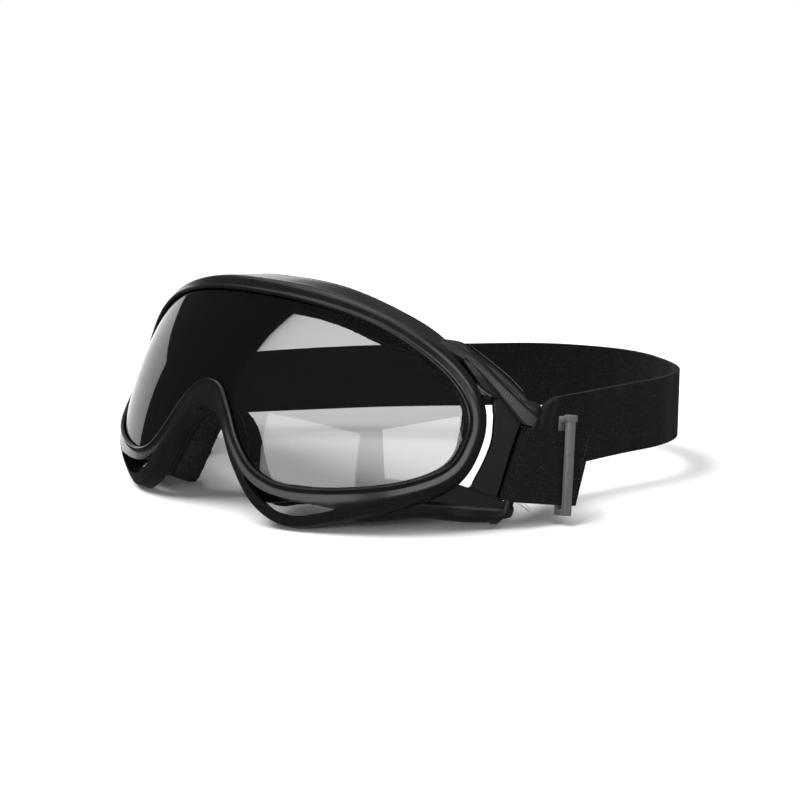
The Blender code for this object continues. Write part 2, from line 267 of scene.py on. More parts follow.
# %% A finish under construction
class Finish:
    """A material under construction: its Principled shader and the coordinates its patterns read."""

    def __init__(self, name, colour, roughness, **constants):
        self.material = bpy.data.materials.new(name)
        self.material.use_nodes = True
        self.tree = self.material.node_tree
        self.shader = self.tree.nodes["Principled BSDF"]
        place = self.tree.nodes.new("ShaderNodeTexCoord")
        self.object = Wire(self.tree, place.outputs["Object"])
        self.uv = Wire(self.tree, place.outputs["UV"])
        self.set(Base_Color=(*colour, 1), Roughness=roughness, **constants)

    def set(self, **values):
        for name, value in values.items():
            self.object.join(self.shader.inputs[name.replace("_", " ")], value)

    def noise(self, size, detail=3.0, roughness=0.5, stretch=(1, 1, 1)):
        """Cloudy noise with spots about this many metres across, stretched along the axes."""
        scaled = self.object.node("ShaderNodeMapping", Vector=self.object, Scale=stretch)
        return self.object.node("ShaderNodeTexNoise", Vector=scaled, Scale=1 / size, Detail=detail,
                                Roughness=roughness)

    def cells(self, size):
        """Distance from the middle of the nearest cell, with cells about this many metres across."""
        return self.object.node("ShaderNodeTexVoronoi", Vector=self.object, Scale=1 / size)

    def blend(self, amount, first, second):
        """A colour between two, by an amount from 0 to 1."""
        return self.object.node("ShaderNodeMix", dict(data_type="RGBA"), output=2, _0=amount,
                                _6=(*first, 1), _7=(*second, 1))

    def bump(self, height, depth, strength=1.0):
        """Relief of this depth in metres where height goes from 0 to 1."""
        self.set(Normal=self.object.node("ShaderNodeBump", Height=height, Distance=depth, Strength=strength))


# %% Dressing a piece
def dress(obj, made, body):
    """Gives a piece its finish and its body."""
    obj.data.materials.clear()
    obj.data.materials.append(made.material)
    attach(obj, body)
    report(obj)


# %% [markdown]
# ** Moulded frame plastic.** The frame comes out of a polished tool, so it is a semi-gloss black with a soft
# sheen. Close up it has a very fine orange peel, faint flow clouds that change the roughness, and hairline
# scuffs from handling. Colour hardly changes: the highlights do the work. The ribbed wedge is the same plastic,
# duller, with a paler base colour that is a painted highlight for the light on its raised ribs; the arms behind
# it are duller still, with a darker base colour that is painted shade for their recess.

# %% Frame plastic
def frame_plastic(name="frame_plastic", low=0.24, high=0.34, tone=1.0):
    made = Finish(name, (0.005, 0.005, 0.005), 0.3, Specular_IOR_Level=0.5, Coat_Roughness=0.1)
    clouds = made.noise(0.012, 4, 0.6)
    scuffs = made.noise(0.0012, 2, 0.7, stretch=(0.12, 1.4, 1.0)).between(0.6, 0.85)
    # tone scales the base colour: above 1 it is a painted highlight, below 1 painted shade.
    dark, pale = [channel * tone for channel in (0.003, 0.003, 0.0033)], [0.0075 * tone] * 3
    made.set(Base_Color=made.blend(clouds, dark, pale))
    made.set(Roughness=clouds.between(0.3, 0.7, low, high) + scuffs * 0.08)
    made.set(Coat_Weight=clouds.between(0.3, 0.7, 0.1, 0.3))
    made.bump(made.noise(0.0005, 2, 0.5), 0.000006, 0.5)
    return made


FRAME_FINISH = frame_plastic()
# Painted highlight: the ribbed wedge's base colour is nine times paler, for the light its raised ribs catch.
WEDGE_PAINTED_HIGHLIGHT_FINISH = frame_plastic("ribbed_plastic_painted_highlight", 0.34, 0.44, 9)
# Painted shade: the recessed arms, rib, block, panel and lug bar get half the frame's base colour.
INNER_PAINTED_SHADE_FINISH = frame_plastic("inner_plastic_painted_shade", 0.5, 0.62, 0.5)
print("finishes:", [made.material.name for made in (FRAME_FINISH, WEDGE_PAINTED_HIGHLIGHT_FINISH, INNER_PAINTED_SHADE_FINISH)])

# %% [markdown]
# ## The front frame
# The front frame is one injection moulding: a bead round the lens, a broad crown, a shoulder that turns
# into a band running back, and a groove inside for the lens. It is a closed section carried round a closed
# outline, so it is a grid that closes both ways. Each row of the grid is one line of the section.

# %% Outlines of the front frame
LENS_EDGE = [(0, 29.3), (26, 29), (48, 27.2), (66, 22.6), (80, 16.4), (88, 9.2), (90, 1), (87, -9),
             (74.5, -18.2), (56, -25.7), (38, -29.6), (26.5, -27.8), (18.6, -21.2), (12, -11.8),
             (6, -4.8), (0, -2.8)]
SHOULDER = [(0, 36, -1.8), (26, 35.8, -1.8), (49, 33, -2), (69, 28.5, -2.5), (84.5, 22, -2.5),
            (94.6, 12.8, -2.5), (97.7, 0.5, -2.5), (93.6, -12.8, -2.5), (78.5, -24.2, -2), (57.5, -35, -1.5),
            (39, -42, -1), (26, -38.8, -0.8), (16.5, -28.8, -0.5), (10.5, -19.5, -0.3), (6, -14.8, 0),
            (0, -12.8, 0)]
REAR_EDGE = [(0, 41.3, -11.5), (26, 40.8, -11.5), (50, 37.2, -11.5), (69.5, 33.4, -14), (86, 26, -17.5),
             (96.5, 15, -19.5), (99.5, 1, -20.5), (95.5, -14.5, -16), (81, -27, -10.5), (58.5, -35.6, -8),
             (39, -41.8, -6), (25, -38.2, -5.5), (15.6, -28.2, -5), (9.8, -18.8, -5), (5.6, -14.2, -5),
             (0, -12.3, -5)]
WALL = 2.4
LIP = 1.5                   # how far the lens runs into its groove
GROOVE_BACK = -2.3
BEAD_WIDTH = 3

lens_edge = whole(LENS_EDGE)
lens_out = outward(lens_edge)
shoulder = whole(SHOULDER)
rear_edge = whole(REAR_EDGE)
shoulder_out = outward(shoulder)
print(len(lens_edge), "stations round the frame")


# %% The moulded shell
def near(offset, depth):
    """A line this far out from the lens edge, at this depth."""
    flat = lens_edge + lens_out * offset
    return wrap(np.column_stack([flat, np.full(len(flat), depth)]))


def crown(share, height):
    """A line between the bead and the shoulder."""
    flat = (lens_edge + lens_out * BEAD_WIDTH) * (1 - share) + shoulder[:, :2] * share
    depth = shoulder[:, 2] * share ** 3 + height
    return wrap(np.column_stack([flat, depth]))


def band(share, inset):
    """A line on the band that runs back from the shoulder, or inside it by inset."""
    point = shoulder * (1 - share) + rear_edge * share
    return wrap(np.column_stack([point[:, :2] - shoulder_out * inset, point[:, 2]]))


def shell_rows():
    """The section in order: over the bead, the crown and the band, then back inside through the groove."""
    inner = np.column_stack([shoulder[:, :2] - shoulder_out * WALL, shoulder[:, 2] - WALL * 1.3])
    return [near(0, 0.2), near(0.1, 0.7), near(0.55, 1.25), near(0.8, 1.5), near(1.1, 1.5), near(1.3, 1.2),
            near(1.6, 0.75), near(2.2, 0.65), crown(0.05, 0.85), crown(0.35, 1.1), crown(0.65, 0.95),
            crown(0.8, 0.7), crown(0.84, 0.35), crown(0.87, 0.35), crown(0.9, 0.5), crown(1, 0),
            band(0.06, 0), band(0.35, 0), band(0.7, 0), band(0.95, 0),
            band(1, 0.2), band(1, WALL - 0.2), band(0.95, WALL), band(0.5, WALL), wrap(inner),
            near(3.3, -4.1), near(0.4, -4.1), near(-0.2, -3.8), near(-0.2, GROOVE_BACK - 0.2),
            near(0.1, GROOVE_BACK), near(LIP, GROOVE_BACK), near(LIP, 0.15), near(0.3, 0.15)]


shell = laid_grid("front_shell", ring_of(shell_rows()), closed=True)
finish(shell, "SUBSURF", levels=1, render_levels=1)
report(shell)

# %% [markdown]
# Air reaches the lens through a slot under each eye, and the moulding tool leaves it clean-edged. So it is cut
# last, with an exact boolean, out of the finished skin. The cutter follows the bowed sheet like everything else.

# %% The vent under each eye
CHEEK_VENT = [(22.5, -30.8), (27, -32.8), (33, -34), (42, -33.6), (55, -31.8), (54.5, -33.2), (48, -36.2),
              (42, -38.3), (35, -38.4), (29, -36.4), (24.5, -33)]


def prism(outline, depths, side):
    """The rows of a skin through an outline on the sheet, from one depth to the next."""
    flat = outline * (side, 1)
    rows = [np.column_stack([flat, np.full(len(flat), depth)]) for depth in depths]
    return closed_round(wrap(np.array(rows)))


def cut_with(obj, points):
    """Cuts obj with a closed skin laid on these points."""
    cutter = laid_grid("cutter", points, closed=True, capped=True)
    finish(obj, "BOOLEAN", operation="DIFFERENCE", solver="EXACT", object=cutter)
    bpy.data.objects.remove(cutter)


vent_line = eased(CHEEK_VENT, 4, True)
for side, _ in SIDES:
    cut_with(shell, prism(vent_line, (6, -2, -8, -16), side))
report(shell)

# %% [markdown]
# **Lug arms.** From each temple two arms reach back to the bar that the strap folds round. A ribbed wedge lies
# on the upper one, between two sharp edges, and a thin rib runs behind it. Each is a short section carried
# along a bowed line, so it is a grid again: round the section one way, along the arm the other, with its ends
# filled. A table row holds the middle of the section and half of its height and depth.

# %% Sections of the arms
UPPER_ARM = [(62, 29, -9.5, 0.6, 1), (69, 28.8, -9, 1.4, 2), (76, 28.4, -8.2, 2.2, 2.6),
             (86, 26.2, -7.6, 2.4, 2.6), (96, 22, -7.2, 2.1, 2.4), (105, 18.4, -6.4, 1.8, 2),
             (113.6, 15.4, -5, 1.5, 1.7)]
REAR_RIB = [(64, 31, -11.8, 0.6, 0.8), (71, 30.6, -11.2, 1.4, 1.5), (78, 30.3, -10.5, 2.3, 2.3),
            (86, 27.8, -10.5, 2.4, 2.2), (95, 25.6, -10.2, 2.4, 2.2), (105.5, 21.4, -9, 2.4, 2),
            (114, 15.3, -6, 1.6, 1.8)]
LOWER_ARM = [(62, -31.2, -6.5, 3, 3), (72, -27.6, -7, 3.2, 3.4), (84, -23.4, -7.5, 3, 3.6),
             (98, -20.4, -7.5, 3, 3.6), (108, -17.8, -7, 2.7, 3.2), (114.5, -15, -5, 1.9, 2.2)]
RIBBED_WEDGE = [(80.9, 27.4, -5.2, 0.15, 0.6), (86, 25.4, -4.6, 0.5, 1), (92, 22.9, -4.1, 0.95, 1.2),
                (101.6, 18.3, -3.6, 1.5, 1.3), (108.4, 15.1, -3, 1.95, 1.3), (111.6, 14.4, -2.9, 1.5, 1.2)]
LUG_BLOCK = [(106, 18.6, -8.2, 2.2, 2.2), (110.5, 18.1, -7.8, 3.6, 2.4), (112.8, 17.8, -7.5, 3.6, 2.3),
             (114.3, 17.7, -7.4, 3, 1.8)]
RIB_EDGE = [(80.1, 32.6, -8.9, 0.1, 0.1), (87, 30.4, -8.6, 0.22, 0.22), (94.1, 28.2, -8.4, 0.28, 0.25),
            (100, 26, -7.8, 0.32, 0.28), (105.1, 23.6, -7.1, 0.36, 0.3)]
TOP_LEDGE = [(88.5, 18.6, -4, 1.8, 1.2), (92, 17.6, -3.7, 1.3, 1.1), (95, 17.6, -3.6, 0.6, 1),
             (97, 17.7, -3.7, 0.12, 0.7)]

# %% [markdown]
# A thin panel closes the space between the arms, with a crescent vent left open in front of it and the strap
# slot behind it. A table row holds a height, and where the panel starts and ends there. The sections are given
# as shares of an arm's half height and half depth: one rounded, one with sharp raised edges.

# %% Panel, lug bar and the two sections
PANEL = [(26, 80, 88), (22, 86, 98), (19.5, 90, 104), (17, 95.3, 109.5), (12.95, 97.8, 111.2),
         (12.45, 98.2, 108.3), (5, 100.6, 108.2), (-2, 100.5, 108.3), (-9, 99, 108.3),
         (-12.35, 97.8, 108.3), (-12.75, 92.5, 112), (-14.2, 89.5, 112), (-16, 87, 112), (-18, 84, 112),
         (-20.5, 80, 110)]
PANEL_D = (-4.0, -6.6)
SLOT_HALF = 12.9            # the panel hooks inwards along the strap slot, up to this height
HOOK, FLAT_END = 2.9, 0.3
LUG_U, LUG_D, LUG_HALF, LUG_RADIUS = 112.5, -4.5, 16.5, 1.6
ROUNDED = [(-1, -0.45), (-0.75, -0.8), (-0.4, -1), (0.4, -1), (0.75, -0.8), (1, -0.45), (1, 0.45),
           (0.75, 0.8), (0.4, 1), (-0.4, 1), (-0.75, 0.8), (-1, 0.45)]
SHARP = [(-1, -1), (1, -1), (1, 0.85), (0.95, 0.97), (0.87, 1), (0.8, 0.93), (-0.8, 0.93), (-0.87, 1),
         (-0.95, 0.97), (-1, 0.85)]


# %% Arms
def closed_skin(name, rows, side):
    """A capped skin through rows of u, v, d points, mirrored for side -1."""
    return laid_grid(name, closed_round(wrap(np.array(rows) * (side, 1, 1))), closed=True, capped=True)


RIB_REACH = 0.84            # the ribs stop short of the section's raised edges


def arm(name, line, side, section=ROUNDED, steps=8, rib_depth=0.0):
    """A bar along the line, whose outer face can carry fine ribs across it."""
    rows = []
    for k, (u, v, d, half_v, half_d) in enumerate(eased(line, steps, False)):
        rib = rib_depth * (k % 2)
        rows.append([(u, v + half_v * a, d + half_d * b - (rib if b > 0 and abs(a) < RIB_REACH else 0))
                     for a, b in section])
    return closed_skin(name, rows, side)


# %% Panel and lug bar
def panel(name, side):
    """The thin panel between the crescent vent and the strap slot, with a rounded front edge."""
    middle, half = sum(PANEL_D) / 2, (PANEL_D[0] - PANEL_D[1]) / 2
    nose = [(0.35, -1), (0.1, -0.7), (0, -0.2), (0, 0.2), (0.1, 0.7), (0.35, 1)]
    rows = []
    for v, front, back in eased(PANEL, 4, False):
        row = [(front + a * half * 2, v, middle + b * half) for a, b in nose]
        hook = HOOK if abs(v) < SLOT_HALF else FLAT_END
        rows.append(row + [(back - 0.2, v, PANEL_D[0]), (back, v, PANEL_D[0] - 0.2), (back, v, PANEL_D[1]),
                           (back + hook, v, -8.3), (back + hook, v, -9.3), (back - 2, v, PANEL_D[1] - 0.3)])
    return closed_skin(name, rows, side)


def lug_bar(name, side):
    """A straight round bar between the ends of the arms."""
    top, bottom = (Vector(wrap((LUG_U * side, v, LUG_D))) for v in (LUG_HALF, -LUG_HALF))
    deselect()
    bpy.ops.mesh.primitive_cylinder_add(vertices=32, radius=LUG_RADIUS * MM, depth=(top - bottom).length,
                                        location=(top + bottom) / 2,
                                        rotation=(top - bottom).to_track_quat("Z", "Y").to_euler())
    bar = bpy.context.object
    bar.name = name
    edit(bar, (bpy.ops.mesh.bevel, dict(offset=0.0003, segments=2)))
    bpy.ops.object.transform_apply(location=True, rotation=True, scale=True)
    return bar


# %% Dress the front frame
smooth(shell, 32)
dress(shell, FRAME_FINISH, "goggles")
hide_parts("front_frame")
for side, word in SIDES:
    # The wedge wears the paler copy of the frame plastic, a painted highlight.
    wedge = arm(f"ribbed_wedge_{word}", RIBBED_WEDGE, side, SHARP, 20, 0.12)
    smooth(wedge, 25)
    dress(wedge, WEDGE_PAINTED_HIGHLIGHT_FINISH, "goggles")
    for piece in (arm(f"rib_edge_{word}", RIB_EDGE, side), arm(f"lower_arm_{word}", LOWER_ARM, side),
                  arm(f"top_ledge_{word}", TOP_LEDGE, side)):
        smooth(piece, 32)
        dress(piece, FRAME_FINISH, "goggles")
    # The recessed arms, rib, block, panel and lug bar wear the darker copy of the frame plastic, painted shade.
    for piece in (arm(f"upper_arm_{word}", UPPER_ARM, side), arm(f"rear_rib_{word}", REAR_RIB, side),
                  arm(f"lug_block_{word}", LUG_BLOCK, side), panel(f"lug_panel_{word}", side),
                  lug_bar(f"lug_bar_{word}", side)):
        smooth(piece, 32)
        dress(piece, INNER_PAINTED_SHADE_FINISH, "goggles")

# %% [markdown]
# ## The lens
# The lens is a thin sheet of smoke polycarbonate, bowed both ways. Seen straight on it lets a third of the
# light through, and at a glancing angle it mirrors the room. One glossy black shader does both: its alpha is
# the share of light that a face stops, and Fresnel raises it towards the edges, as on the real sheet.

# %% Lens finish
LENS_TINT = 0.39            # share of the light that each face of the lens stops


def smoke_lens():
    made = Finish("smoke_lens", (0.004, 0.004, 0.0045), 0.02, IOR=2.0)
    glance = made.object.node("ShaderNodeFresnel", IOR=1.5)
    haze = made.noise(0.02, 3, 0.6).between(0.35, 0.65, 0.015, 0.035)
    made.set(Alpha=glance.between(0.04, 1, LENS_TINT, 1), Roughness=haze)
    return made


# %% [markdown]
# The sheet is cut to the frame's own outline plus the lip that sits in the groove. Rings of that outline shrink
# to one middle point on the front, and grow back out from it on the back, so one grid makes both faces.

# %% Lens sheet
LENS_THICKNESS = 1.8
LENS_CENTRE = np.array([0.0, 14.0])
LENS_FRONT = -0.15
LIP_PLAY = 0.3
LENS_RINGS = 24


def lens_line(share, depth):
    """The lens outline shrunk to this share of itself, at this depth."""
    edge = lens_edge + lens_out * (LIP - LIP_PLAY)
    flat = LENS_CENTRE + (edge - LENS_CENTRE) * share
    return wrap(np.column_stack([flat, np.full(len(flat), depth)]))


def lens_rows():
    shares = [1 - k / LENS_RINGS for k in range(LENS_RINGS)] + [0.0001]
    front = [lens_line(share, LENS_FRONT) for share in reversed(shares)]
    back = [lens_line(share, LENS_FRONT - LENS_THICKNESS) for share in shares]
    return np.stack(front + back)


lens = laid_grid("lens_sheet", closed_round(lens_rows()), closed=True, capped=True)
smooth(lens, 50)
dress(lens, smoke_lens(), "goggles")
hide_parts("lens")

# %% [markdown]
# ## The face frame and its foam
# Behind the shell a thin flange follows the face, and a ring of open-cell foam is glued to it. The flange is
# the same satin black as the shell. The foam is matt and granular: it is a padded ring with soft edges,
# and its pores are real dimples in the mesh as well as in the finish, so its outline is not a clean line.

# %% Outlines of the face frame and foam
FACE_EDGE = [(0, 41.5, -11.8, 12), (26, 41, -11.8, 12.5), (50, 38.3, -16, 12.5), (70, 35, -24.5, 9),
             (86, 28, -25.5, 6), (96.5, 17, -25.2, 4.5), (100, 2, -24.2, 4), (96.5, -13, -21.5, 4),
             (82.5, -24.8, -16, 4.5), (60, -30.9, -10.5, 5), (41, -32.9, -6.8, 5), (25.8, -36.2, -6, 5),
             (16.2, -28, -5.3, 5.5), (10.2, -18.6, -5.3, 5.5), (5.8, -13.8, -5.3, 5), (0, -12, -5.3, 4.5)]
FOAM_DEPTH = [-26, -27, -29.5, -32, -32, -31.7, -30.7, -28.7, -25.5, -21.5, -18.5, -19, -18.5, -18, -17, -17]
FACE_PLATE = 2.0
FOAM_GAP = 0.8

face_edge = whole(FACE_EDGE)
face_in = -outward(face_edge)
foam_back = whole([(0, 0, depth) for depth in FOAM_DEPTH])[:, 2]
foam_front = face_edge[:, 2] - FACE_PLATE - FOAM_GAP
print("foam", (foam_front - foam_back).min().round(1), "to", (foam_front - foam_back).max().round(1), "mm thick")


# %% Face frame
def face_line(inset, drop, share=0.0):
    """A line inset from the face frame's edge in mm plus a share of its width, and dropped behind it."""
    reach = inset + share * face_edge[:, 3]
    flat = face_edge[:, :2] + face_in * reach[:, None]
    return wrap(np.column_stack([flat, face_edge[:, 2] - drop]))


face_rows = [face_line(0.3, 0), face_line(-0.3, 0, 1), face_line(0, 0.3, 1),
             face_line(0, FACE_PLATE - 0.3, 1), face_line(-0.3, FACE_PLATE, 1), face_line(0.3, FACE_PLATE),
             face_line(0, FACE_PLATE - 0.3), face_line(0, 0.3)]
face = laid_grid("face_flange", ring_of(face_rows), closed=True)
smooth(face, 40)
dress(face, FRAME_FINISH, "goggles")
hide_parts("face_frame")


# %% [markdown]
# ** Face foam.** The ring is cut from a sheet of open-cell foam, so it is dull. Its colour is painted shade:
# very dark in the dented middle of each cell and a little paler on the raised cell walls. The section is a soft
# block, subdivided, and a cloud texture pushes its points in and out by a fraction of a millimetre.

# %% Foam finish
def foam_finish():
    made = Finish("face_foam", (0.012, 0.012, 0.0125), 0.95, Specular_IOR_Level=0.25)
    pores = made.cells(0.0007)
    grain = made.noise(0.0004, 3, 0.7)
    # Painted shade: the base colour is darkest in the dented middle of each cell and paler on the raised walls.
    made.set(Base_Color=made.blend(pores.between(0.1, 0.6), (0.002, 0.002, 0.002), (0.014, 0.014, 0.0145)))
    made.set(Roughness=grain.between(0.3, 0.7, 0.85, 1.0))
    made.bump(pores + grain * 0.5, 0.0005, 0.9)
    return made


# %% Foam ring
def foam_line(inset, share, back_share):
    """A line on the foam: inset across it, and this share of the way to its soft edge."""
    reach = inset + share * face_edge[:, 3]
    flat = face_edge[:, :2] + face_in * reach[:, None]
    depth = foam_front * (1 - back_share) + foam_back * back_share
    return wrap(np.column_stack([flat, depth]))


foam_rows = [foam_line(0.6, 0, 0), foam_line(0, 0.33, 0), foam_line(0, 0.66, 0), foam_line(-0.4, 1, 0),
             foam_line(-0.2, 1, 0.33), foam_line(-0.4, 1, 0.75), foam_line(-0.9, 1, 0.93),
             foam_line(-0.2, 0.75, 0.99), foam_line(0, 0.5, 1), foam_line(0.2, 0.25, 0.99),
             foam_line(1.1, 0, 0.93), foam_line(0.6, 0, 0.75), foam_line(0.4, 0, 0.33)]
foam = laid_grid("foam_ring", ring_of(foam_rows), closed=True)
finish(foam, "SUBSURF", levels=2, render_levels=2)
pores = bpy.data.textures.new("pores", "CLOUDS")
pores.noise_scale = 0.0011
finish(foam, "DISPLACE", texture=pores, strength=0.0007, mid_level=0.5, texture_coords="LOCAL")
smooth(foam, 60)
dress(foam, foam_finish(), "goggles")
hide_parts("face_foam")

# %% [markdown]
# ## The strap
# The strap is woven elastic, 25 mm wide, one length from its left tail round the head space to its right
# tail. It is a flat band, so a grid laid along its route keeps its real width and length. Fine cross ribs
# are in the mesh, and the yarns, the speckle and a few pale fibres are in the finish.

# %% Route of the strap
STRAP_RUN = [(76.8, 77.3, 22.4), (76.3, 87.8, 22.3), (78.5, 98, 22.4), (82, 115, 22.8),
             (85.5, 131, 23), (84.6, 144, 23), (80, 153, 23.2), (70, 160, 23.5), (55, 164.5, 24),
             (37.5, 163.5, 24), (16, 154, 24), (-5, 137, 23.5), (-32, 115, 22.5), (-55, 96, 21),
             (-72, 77.5, 20)]
STRAP_WIDTH = 25.0
STRAP_THICKNESS = 1.7
STRAP_GAP = 0.3
TAIL_LENGTH = 21.8
TAIL_RISE = 0.295
TAIL_LEAN = math.radians(23)
TURN_RADIUS = LUG_RADIUS + STRAP_GAP + STRAP_THICKNESS / 2      # of the webbing's middle round a lug bar


# %% [markdown]
# Each end of the strap comes from the free run, goes round the back of its lug bar and lies down over the
# outside as a tail. The tails lean a little, as webbing does when nobody holds it, so the route carries an up
# direction with every place, and the two are smoothed and spaced out together.

# %% The tails
def unit(vector):
    return vector / np.linalg.norm(vector)


def lug_axes(side):
    """Middle of a lug bar in mm, and its directions back along the wrap, outward and up."""
    top, bottom, start, along, out = (wrap(p) / MM for p in (
        (LUG_U, LUG_HALF, LUG_D), (LUG_U, -LUG_HALF, LUG_D), (LUG_U, 0, LUG_D), (LUG_U + 1, 0, LUG_D),
        (LUG_U, 0, LUG_D + 1)))
    turned = np.array([side, 1, 1])
    return [(top + bottom) / 2 * turned, unit(along - start) * turned, unit(out - start) * turned,
            unit(top - bottom) * turned]


def tail_frame(side):
    """Start of a tail on its lug bar, its direction, its lean and its outward direction."""
    centre, back, out, up = lug_axes(side)
    along = unit(back + up * TAIL_RISE)
    lean = np.array([0, math.sin(TAIL_LEAN), math.cos(TAIL_LEAN)])
    lean = unit(lean - out * lean.dot(out))
    return centre + out * TURN_RADIUS, along, lean, out


def lug_turn(side, leaving):
    """Places and up directions from a tail's end, round its lug bar, to the free run."""
    centre, back, out, up = lug_axes(side)
    start, along, lean, _ = tail_frame(side)
    path = [(start + along * TAIL_LENGTH * share, lean) for share in (1, 0.75, 0.5)]
    path.append((start + along * TAIL_LENGTH * 0.2, unit(lean * 0.4 + up * 0.6)))
    heading = unit(leaving - centre)
    end = math.atan2(-heading.dot(back), heading.dot(out)) % (2 * math.pi)
    for step in range(10):
        angle = math.pi / 2 + (end - math.pi / 2) * step / 9
        arm_out = back * math.cos(angle) + out * math.sin(angle)
        path.append((centre + arm_out * TURN_RADIUS, up))
    return path


# %% The whole route
def strap_route():
    """Middle line and up directions of the whole strap, left tail to right tail, in mm."""
    run = np.array(STRAP_RUN) + (0, CENTRE_SHIFT, 0)
    left, right = lug_turn(1, run[0]), lug_turn(-1, run[-1])
    middle = eased(np.vstack([left[-1][0], run, right[-1][0]]), 3, False)[1:-1]
    upright = np.array([0, 0, 1.0])
    blended = []
    for k, point in enumerate(middle, start=1):
        share = min(1, k / 9, (len(middle) + 1 - k) / 9)
        blended.append((point, unit(left[-1][1] * (1 - share) + upright * share)))
    return left + blended + right[::-1]


def even(places, ups, step):
    """The same route with places this far apart."""
    run = np.concatenate([[0], np.cumsum(np.linalg.norm(np.diff(places, axis=0), axis=1))])
    wanted = np.linspace(0, run[-1], int(run[-1] / step))

    def spaced(values):
        return np.column_stack([np.interp(wanted, run, values[:, k]) for k in range(3)])

    return spaced(places), spaced(ups), run[-1]


RIB_STEP = 0.4
route = strap_route()
route_places = eased([place for place, _ in route], 6, False)
route_ups = eased([up for _, up in route], 6, False)
places, ups, strap_length = even(route_places, route_ups, RIB_STEP)
print("strap", round(strap_length), "mm long,", len(places), "steps")


# %% [markdown]
# **Webbing.** Elastic webbing shows cross ribs where the weft goes over the rubber, and lengthwise yarns between
# them. Two sine waves along the piece's own UV map make them, at their real spacing, and noise breaks them up
# into the dusty, uneven black of used fabric with a few pale fibres.

# %% Webbing finish
WEFT_SPACING = 0.75
WARP_SPACING = 0.8


def webbing_finish(name, length, width):
    """Woven elastic for a band of this length and width in mm."""
    made = Finish(name, (0.004, 0.004, 0.0045), 0.9, Specular_IOR_Level=0.15, Sheen_Weight=0.04,
                  Sheen_Roughness=0.5)
    along, across = (made.uv.node("ShaderNodeSeparateXYZ", output=k, _0=made.uv) for k in (0, 1))
    ribs = (along * (length / WEFT_SPACING * 2 * math.pi)).sine() * 0.5 + 0.5
    warp = (across * (width / WARP_SPACING * 2 * math.pi)).sine() * 0.5 + 0.5
    speckle = made.noise(0.0005, 4, 0.8)
    fleck = made.noise(0.0006, 1, 0.5).between(0.6, 0.74)
    tone = ribs * warp * 0.25 + speckle * 0.75
    made.set(Base_Color=made.blend(tone.between(0.35, 0.8) + fleck * 0.6, (0.0015, 0.0015, 0.0017),
                                   (0.024, 0.024, 0.0245)))
    made.set(Roughness=speckle.between(0.3, 0.7, 0.8, 1.0))
    made.bump(ribs * 0.35 + warp * 0.25 + speckle * 0.9, 0.00025, 0.8)
    return made


# %% Strap
def band_points(places, ups, width, ripple=0.05, columns=15):
    """Points of a flat band, with cross ribs raised by turns."""
    along = np.gradient(places, axis=0)
    across = np.cross(along, ups)
    across /= np.linalg.norm(across, axis=1)[:, None]
    heights = np.linspace(-width / 2, width / 2, columns)
    rise = (np.arange(len(places)) % 2 * 2 - 1) * ripple
    points = places[None] + ups[None] * heights[:, None, None] + across[None] * rise[None, :, None]
    return points * MM


strap = laid_grid("strap_band", band_points(places, ups, STRAP_WIDTH - 0.4))
finish(strap, "SOLIDIFY", thickness=STRAP_THICKNESS * MM, offset=0)
face_out(strap)
smooth(strap, 50)
WEBBING_FINISH = webbing_finish("webbing", strap_length, STRAP_WIDTH)
dress(strap, WEBBING_FINISH, "goggles")
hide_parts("strap")

# %% [markdown]
# **Hems, stitches and loose threads.** Each tail ends in a small folded hem with a row of stitches, and a few
# yarns have worked loose at its front corner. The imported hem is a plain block, so a copy is merged and
# bevelled. A stitch is one short tube that is copied along the hem, and a loose yarn is a longer, thinner one.

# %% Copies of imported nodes
def refined_copy(node_name, name, bevel):
    """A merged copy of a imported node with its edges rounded."""
    deselect()
    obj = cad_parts[node_name].copy()
    obj.data = obj.data.copy()
    obj.name = obj.data.name = name
    bpy.context.scene.collection.objects.link(obj)
    obj.hide_render = False
    obj.hide_set(False)
    obj.parent = None
    obj.data.materials.clear()
    edit(obj, (bpy.ops.mesh.remove_doubles, dict(threshold=1e-6)),
         (bpy.ops.mesh.dissolve_limited, dict(angle_limit=math.radians(2))))
    finish(obj, "BEVEL", width=bevel, segments=3, limit_method="ANGLE", angle_limit=math.radians(30))
    return obj


# %% Tubes and joined pieces
def tube(name, middle, radius, sides=6):
    """A thin round tube along points given in mm."""
    middle = np.asarray(middle, float)
    along = np.gradient(middle, axis=0)
    angles = np.linspace(0, 2 * math.pi, sides + 1)
    rows = []
    for point, heading in zip(middle, along):
        first = unit(np.cross(heading, (0.31, 0.17, 0.93)))
        second = unit(np.cross(heading, first))
        rows.append(point + radius * (np.outer(np.cos(angles), first) + np.outer(np.sin(angles), second)))
    return laid_grid(name, np.array(rows) * MM, closed=True, capped=True)


def joined(name, pieces):
    deselect()
    for piece in pieces:
        piece.select_set(True)
    bpy.context.view_layer.objects.active = pieces[0]
    bpy.ops.object.join()
    pieces[0].name = pieces[0].data.name = name
    return pieces[0]


# %% Stitches and loose threads
STITCHES = 15
STITCH_BOW = [(-0.55, -0.1), (-0.3, 0.06), (0, 0.1), (0.3, 0.06), (0.55, -0.1)]
THREAD_FINISH = Finish("thread", (0.02, 0.02, 0.021), 0.7)
THREAD_FINISH.set(Base_Color=THREAD_FINISH.blend(THREAD_FINISH.noise(0.0004, 2), (0.012, 0.012, 0.012),
                                                 (0.05, 0.05, 0.05)))


